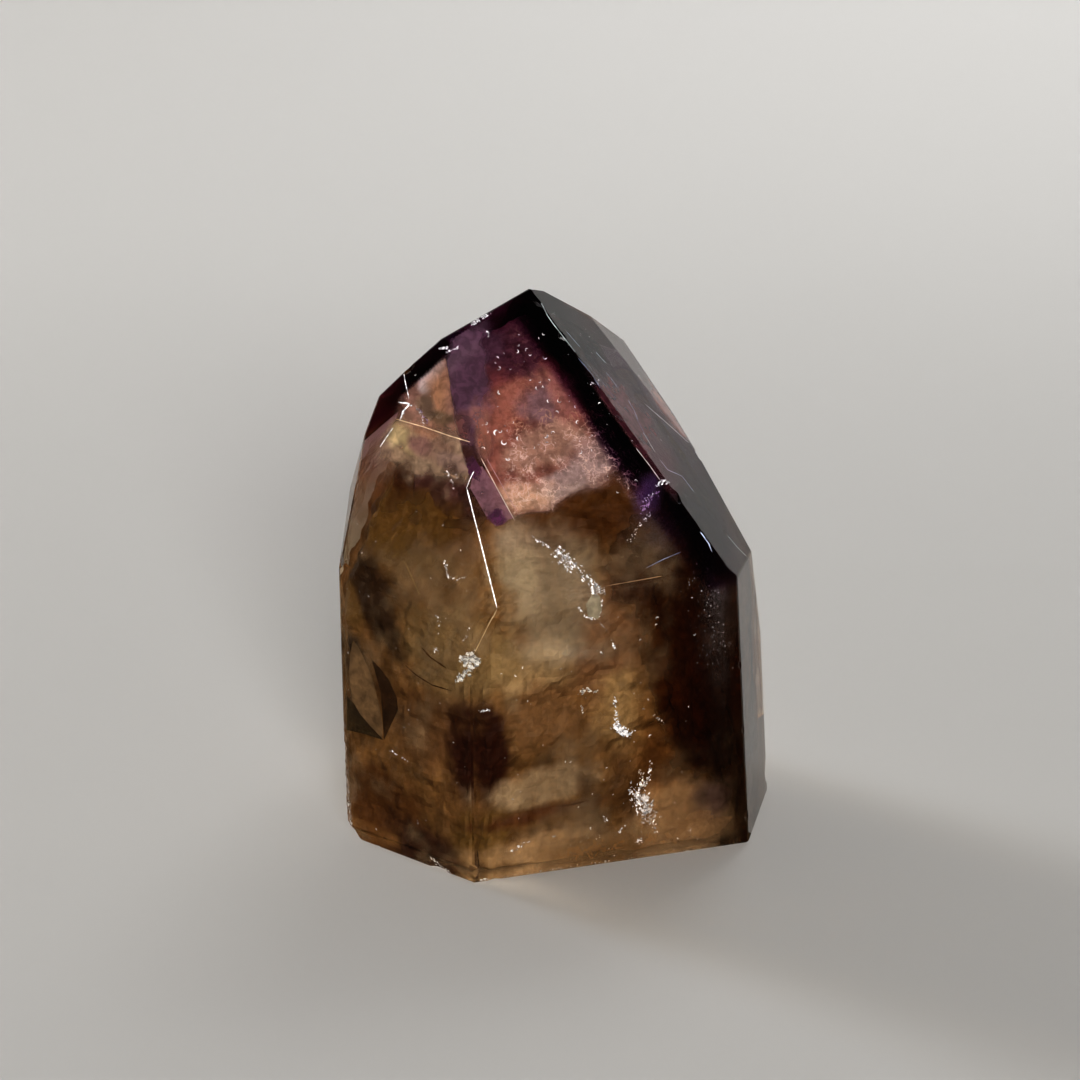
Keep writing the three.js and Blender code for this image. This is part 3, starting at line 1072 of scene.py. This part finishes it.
# small shell shaped nicks just under the polished faces, with a painted glint: boxes of the view, how many,
# and radius in mm
nicks = [
    ((486, 330, 560, 400), 16, (0.10, 0.22)),
    ((480, 400, 600, 470), 22, (0.10, 0.26)),
    ((560, 330, 640, 470), 16, (0.06, 0.16)),
    ((340, 500, 480, 700), 30, (0.05, 0.14)),
    ((500, 600, 700, 860), 60, (0.06, 0.18)),
    ((360, 700, 480, 850), 14, (0.05, 0.12)),
    ((560, 320, 690, 500), 36, (0.06, 0.16)),
    ((745, 580, 760, 830), 16, (0.04, 0.10)),
]
namedNicks = [  # where each shows, and its radius in mm
    ((500, 392), 0.26), ((497, 433), 0.34), ((504, 442), 0.30), ((483, 449), 0.22), ((508, 458), 0.26),
    ((545, 435), 0.34), ((553, 433), 0.20), ((540, 338), 0.16), ((527, 350), 0.20), ((530, 354), 0.18),
    ((545, 357), 0.24), ((538, 388), 0.26), ((544, 386), 0.16), ((530, 379), 0.16), ((430, 398), 0.22),
    ((415, 374), 0.16), ((518, 345), 0.14),
]
plate = {
    "longer": 1.5,              # than a round one of its size
    "scatter": 0.6,             # of its run's spread
    "depths": (0.8, 1.25),      # of its run's depth
    "skin": 0.12,               # mm of clear quartz outside its middle
    "tilt": 0.4,
    "mostlySmall": 1.3,         # the higher, the more small ones there are
    "turn": 0.6,
    "corners": (5, 7),
    "narrow": (0.2, 0.7),
    "ragged": (0.55, 1.0),
    "crumple": (-0.3, 0.3),
    "hub": (-0.35, 0.35),
    "seed": 5,
}
crescent = {
    "depths": (0.35, 0.6),      # mm
    "skin": 0.25,
    "mostlySmall": 2,
    "span": (110, 230),         # degrees
    "steps": 8,
    "belly": 0.3,               # half its width in its middle and at its ends, as a share of its radius
    "ends": 0.04,
    "tone": (0.85, 0.84, 0.84),
    "rough": 0.3,
    "glow": 0.3,
}
silver = {
    "grain": (2200, 2),         # patches per metre, and layers
    "grainSteps": (0.38, 0.56, (0.30, 1.0)),
    "metal": 0.3,
    "sheen": 0.8,
}


def addFlake(shape, centre, size, facing, along, chance):
    # one crumpled plate, longer along the crack than across it
    side = (along - facing * along.dot(facing)).normalized()
    side.rotate(Matrix.Rotation(chance.gauss(0, plate["turn"]), 3, facing))
    up = facing.cross(side)
    corners = chance.randint(*plate["corners"])
    narrow = chance.uniform(*plate["narrow"])
    ring = []
    for i in range(corners):
        turn = 2 * math.pi * i / corners
        reach = size * mm * chance.uniform(*plate["ragged"])
        rise = size * mm * chance.uniform(*plate["crumple"])
        ring.append(shape.verts.new(centre + side * math.cos(turn) * reach
                                    + up * math.sin(turn) * reach * narrow + facing * rise))
    hub = shape.verts.new(centre + facing * size * mm * chance.uniform(*plate["hub"]))
    for i in range(corners):
        shape.faces.new([hub, ring[i], ring[(i + 1) % corners]])


def bridge(shape, rows):
    # faces between each pair of points and the next
    for first, second in zip(rows, rows[1:]):
        shape.faces.new([first[0], first[1], second[1], second[0]])


def addNick(shape, centre, radius, facing, chance):
    # a crescent, wide in its middle and pointed at both ends
    side = facing.orthogonal().normalized()
    side.rotate(Matrix.Rotation(chance.uniform(0, 2 * math.pi), 3, facing))
    up = facing.cross(side)
    span = math.radians(chance.uniform(*crescent["span"]))
    rows = []
    for i in range(crescent["steps"] + 1):
        turn = span * (i / crescent["steps"] - 0.5)
        wide = crescent["belly"] * math.sin(math.pi * i / crescent["steps"]) + crescent["ends"]
        out = side * math.cos(turn) + up * math.sin(turn)
        rows.append([shape.verts.new(centre + out * radius * mm * r) for r in (1 - wide, 1 + wide)])
    bridge(shape, rows)


def silverWithPaintedGlint(name, tone, rough, glow):
    shine = Finish(name)
    grain = shine.between(shine.cloud(*silver["grain"]), *silver["grainSteps"])
    tone = shine.blend(1.0, tone, greyed(shine, grain), "MULTIPLY")
    # the emission paints a glint: the plates give off light of their own, so that they show bright under any
    # lamp
    shine.surface(shine.node("ShaderNodeBsdfPrincipled", values={
        "Base Color": tone, "Roughness": rough, "Metallic": silver["metal"],
        "Specular IOR Level": silver["sheen"], "Emission Color": tone, "Emission Strength": glow}))
    shine.material.cycles.emission_sampling = "NONE"
    return shine.material


def alongPath(path, share):
    place = share * (len(path) - 1)
    step = min(int(place), len(path) - 2)
    first, second = Vector(path[step]), Vector(path[step + 1])
    return first.lerp(second, place - step)


def addFlecks():
    chance = random.Random(plate["seed"])
    for name, group in flecks.items():
        shape = bmesh.new()
        for path, spread, count, (low, high), deep in group["runs"]:
            onward = (alongPath(path, 1) - alongPath(path, 0)).normalized()
            along = camera.matrix_basis.to_3x3() @ Vector((onward.x, -onward.y, 0))
            scatter = spread * plate["scatter"]
            for _ in range(count):
                pixel = alongPath(path, chance.random())
                pixel += Vector((chance.gauss(0, scatter), chance.gauss(0, scatter)))
                centre = seenAt(pixel, deep * chance.uniform(*plate["depths"]))
                if centre is None or clearance(centre) < plate["skin"] * mm:
                    continue
                tilt = Vector([chance.gauss(0, plate["tilt"]) for _ in range(3)])
                facing = ((camera.location - centre).normalized() + tilt).normalized()
                size = low + (high - low) * chance.random() ** plate["mostlySmall"]
                size = min(size * plate["longer"], clearance(centre) / mm)
                addFlake(shape, centre, size, facing, along, chance)
        addPiece(name, shape, silverWithPaintedGlint(name, group["tone"], group["rough"], group["glow"]))
    addNicks(chance)


def addNicks(chance):
    look = crescent
    places = list(namedNicks)
    for (left, top, right, bottom), count, (low, high) in nicks:
        for _ in range(count):
            pixel = (chance.uniform(left, right), chance.uniform(top, bottom))
            places.append((pixel, low + (high - low) * chance.random() ** look["mostlySmall"]))
    shape = bmesh.new()
    for pixel, radius in places:
        centre = seenAt(pixel, chance.uniform(*look["depths"]))
        if centre is not None and clearance(centre) > look["skin"] * mm:
            addNick(shape, centre, radius, lookIn(pixel)[1], chance)
    addPiece("shell_nicks", shape, silverWithPaintedGlint("nickWhite", look["tone"], look["rough"], look["glow"]))


addFlecks()
print("flecks")


# thin seams and inner edges, and pale lines that are painted highlights along polished edges: path, width in
# mm, mm deep, and colour as it should look
seamsAndHighlights = [
    ([(481, 458), (498, 490), (515, 521)], 0.11, 0.35, (158, 134, 110)),
    ([(487, 459), (503, 487), (519, 515)], 0.08, 0.35, (140, 104, 92)),
    ([(497, 609), (486, 630), (474, 654)], 0.08, 0.3, (136, 108, 76)),
    ([(405, 665), (416, 675), (432, 685), (452, 691)], 0.16, 1.6, (46, 26, 14)),
    ([(422, 648), (430, 657), (446, 668)], 0.30, 1.5, (60, 38, 20)),
    # painted highlight along the upper edge of the left crown face
    ([(396, 419), (424, 427), (450, 436), (470, 442)], 0.12, 0.3, (190, 150, 112)),
    # this row and the next two: painted highlights along the crown's edges
    ([(541, 303), (549, 318), (575, 352)], 0.08, 0.25, (170, 164, 168)),
    ([(578, 358), (592, 374), (600, 388)], 0.08, 0.25, (120, 112, 118)),
    ([(636, 448), (650, 466), (660, 480)], 0.08, 0.25, (180, 172, 176)),
    ([(646, 568), (664, 559), (681, 552)], 0.10, 0.5, (96, 92, 98)),
    ([(560, 806), (575, 804), (590, 800)], 0.14, 2.2, (44, 26, 16)),
    ([(477, 850), (479, 866), (475, 882)], 0.12, 0.5, (40, 26, 16)),
    # this row and the next ten: painted highlights along the crown's edges
    ([(645, 404), (668, 424), (699, 452)], 0.16, 0.4, (190, 166, 158)),
    ([(566, 331), (573, 339), (580, 347)], 0.10, 0.3, (150, 146, 150)),
    ([(596, 352), (601, 358), (606, 363)], 0.14, 0.3, (160, 154, 156)),
    ([(606, 372), (613, 381), (618, 388)], 0.08, 0.3, (150, 140, 142)),
    ([(628, 400), (634, 410), (638, 420)], 0.10, 0.3, (170, 150, 148)),
    ([(643, 432), (649, 442), (655, 452)], 0.16, 0.3, (210, 196, 196)),
    ([(626, 404), (634, 414), (646, 436)], 0.05, 0.3, (140, 120, 122)),
    ([(584, 360), (604, 384), (622, 408)], 0.05, 0.3, (130, 122, 128)),
    ([(660, 460), (668, 470), (682, 476), (694, 492)], 0.12, 0.3, (150, 132, 130)),
    ([(700, 532), (708, 542), (712, 552)], 0.10, 0.3, (150, 142, 142)),
    ([(728, 536), (738, 548), (746, 556)], 0.12, 0.3, (170, 158, 152)),
    ([(404, 560), (412, 578), (420, 596)], 0.10, 1.4, (96, 74, 46)),
    ([(606, 586), (640, 580), (662, 576)], 0.10, 0.4, (120, 88, 60)),
]
# flat inclusions, and a dark sheet painted as the tan leaf's shadow, with a clear outline, how deep they lie
# in mm, and how much of each is there
inclusionsAndShadow = [
    {"name": "tan_leaf", "deep": 1.0, "colour": (94, 68, 44), "share": 0.85, "outline": [
        (353, 640), (360, 650), (370, 672), (378, 700), (383, 725), (382, 738), (372, 728), (360, 714),
        (352, 700), (349, 676), (350, 655)]},
    # painted shadow: a dark sheet where the tan leaf's shadow falls
    {"name": "leaf_shadow", "deep": 1.2, "colour": (40, 24, 13), "share": 0.85, "outline": [
        (384, 740), (398, 710), (397, 698), (389, 680), (380, 668), (372, 660), (381, 695)]},
    {"name": "leaf_foot", "deep": 1.4, "colour": (46, 34, 20), "share": 0.85, "outline": [
        (347, 696), (356, 706), (370, 722), (383, 740), (364, 734), (347, 730)]},
    {"name": "olive_lens", "deep": 2.6, "colour": (124, 108, 84), "share": 0.6, "outline": [
        (592, 588), (600, 596), (602, 610), (598, 619), (588, 617), (586, 604)]},
    {"name": "violet_slip", "deep": 1.2, "colour": (98, 67, 64), "share": 0.7, "outline": [
        (474, 470), (482, 466), (500, 492), (514, 518), (500, 522), (486, 516), (476, 498), (470, 488)]},
    {"name": "violet_spot_low", "deep": 1.0, "colour": (70, 34, 50), "share": 0.8, "fades": True,
     "outline": [
        (488, 510), (500, 508), (510, 514), (508, 524), (496, 526), (487, 520)]},
    {"name": "violet_spot_high", "deep": 1.0, "colour": (66, 32, 44), "share": 0.85, "fades": True,
     "outline": [
        (462, 458), (472, 454), (482, 470), (480, 482), (470, 476), (461, 470)]},
]
# painted highlights: thin glowing strips just under polished edges: path, width in mm, and mm deep
edgeGlints = [
    ([(466.5, 487), (478, 532), (497, 608)], 0.12, 0.12),
    ([(474, 471), (470, 479), (467, 487)], 0.10, 0.12),
    ([(403, 367), (405, 381), (409, 398)], 0.10, 0.15),
    ([(398, 402), (404, 403), (410, 404)], 0.14, 0.15),
    ([(409, 405), (403, 411), (400, 420)], 0.14, 0.15),
    ([(393, 428), (386, 438), (380, 447)], 0.08, 0.15),
]
ribbon = {
    "steps": 6,                 # from each point of its path to the next
    "widest": 1.1,
    "ends": 0.35,               # its width at both ends, as a share of the rest
}
seamAndHighlightLook = {"seed": 11, "uneven": 0.5, "glow": 0.1}
# the strips glow with light of their own: painted highlights
glintLook = {"seed": 3, "uneven": 0.9, "tone": (0.92, 0.93, 0.96), "rough": 0.3, "glow": 1.0}
inclusionAndShadowLook = {
    "cuts": 5,
    "fadeWaver": (0.8, 3, 6, 0.5),
    "fade": (1.0, 0.35),        # of its half width: where it ends, and where it is full
    "mottle": (1.2, 3),
    "mottleSeed": 40,
    "mottleTone": 0.4,
    "glow": 0.15,
}


def addRibbon(shape, path, wide, deep, chance, uneven):
    # a thin strip under the polished faces, and the points that it adds
    steps = ribbon["steps"] * (len(path) - 1)
    places = []
    for i in range(steps + 1):
        pixel = alongPath(path, i / steps)
        normal = lookIn(pixel)[1]
        if normal is not None:
            places.append((seenAt(pixel, deep), normal))
    rows = []
    last = len(places) - 1
    for i, (place, normal) in enumerate(places):
        after, before = places[min(i + 1, last)][0], places[max(i - 1, 0)][0]
        side = (after - before).cross(normal).normalized()
        half = wide * mm / 2 * chance.uniform(uneven, ribbon["widest"])
        if i in (0, last):
            half *= ribbon["ends"]
        rows.append([shape.verts.new(place + side * half), shape.verts.new(place - side * half)])
    bridge(shape, rows)
    return [vertex for row in rows for vertex in row]


def addSeamsAndHighlights():
    shape = bmesh.new()
    layer = shape.verts.layers.float_color.new("tint")
    chance = random.Random(seamAndHighlightLook["seed"])
    for path, wide, deep, colour in seamsAndHighlights:
        for vertex in addRibbon(shape, path, wide, deep, chance, seamAndHighlightLook["uneven"]):
            vertex[layer] = (*shown(colour, cloudGain), 1)
    addPiece("fine_seams_and_highlights", shape, dustyFinish("seamDustAndHighlights", seamAndHighlightLook["glow"], fineDust))


def addEdgeGlints():
    look = glintLook
    shape = bmesh.new()
    chance = random.Random(look["seed"])
    for path, wide, deep in edgeGlints:
        addRibbon(shape, path, wide, deep, chance, look["uneven"])
    addPiece("edge_glints", shape, silverWithPaintedGlint("edgeShine", look["tone"], look["rough"], look["glow"]))


def addInclusionsAndShadow():
    look = inclusionAndShadowLook
    for seed, part in enumerate(inclusionsAndShadow):
        shape = bmesh.new()
        places = [seenAt(pixel, part["deep"]) for pixel in part["outline"]]
        ring = [shape.verts.new(place) for place in places]
        edges = [shape.edges.new((ring[i - 1], ring[i])) for i in range(len(ring))]
        bmesh.ops.triangle_fill(shape, edges=edges, use_beauty=True)
        bmesh.ops.subdivide_edges(shape, edges=shape.edges[:], cuts=look["cuts"], use_grid_fill=True)

        middle = sum((v.co for v in shape.verts), Vector()) / len(shape.verts)
        reach = max((v.co - middle).length for v in shape.verts)
        mottle = (*look["mottle"], look["mottleSeed"] + seed, look["mottleTone"])

        def ground(point, part=part, middle=middle, reach=reach, mottle=mottle):
            share = part["share"]
            if part.get("fades"):
                away = (point - middle).length / reach + fog(point, *look["fadeWaver"])
                share *= soft(away, *look["fade"])
            return shown(part["colour"], cloudGain) * (1 + fog(point, *mottle)), share

        paint(shape, ground, [], cloudGain)
        addPiece(part["name"], shape, dustyFinish(part["name"], look["glow"], fineDust))


addSeamsAndHighlights()
addEdgeGlints()
addInclusionsAndShadow()
print("seams and inclusions")


scene = bpy.context.scene
scene.view_settings.view_transform = "Standard"
scene.view_settings.look = "High Contrast"
scene.cycles.max_bounces = 12
scene.cycles.transmission_bounces = 12
scene.cycles.transparent_max_bounces = 24
scene.cycles.volume_bounces = 0
scene.cycles.diffuse_bounces = 2
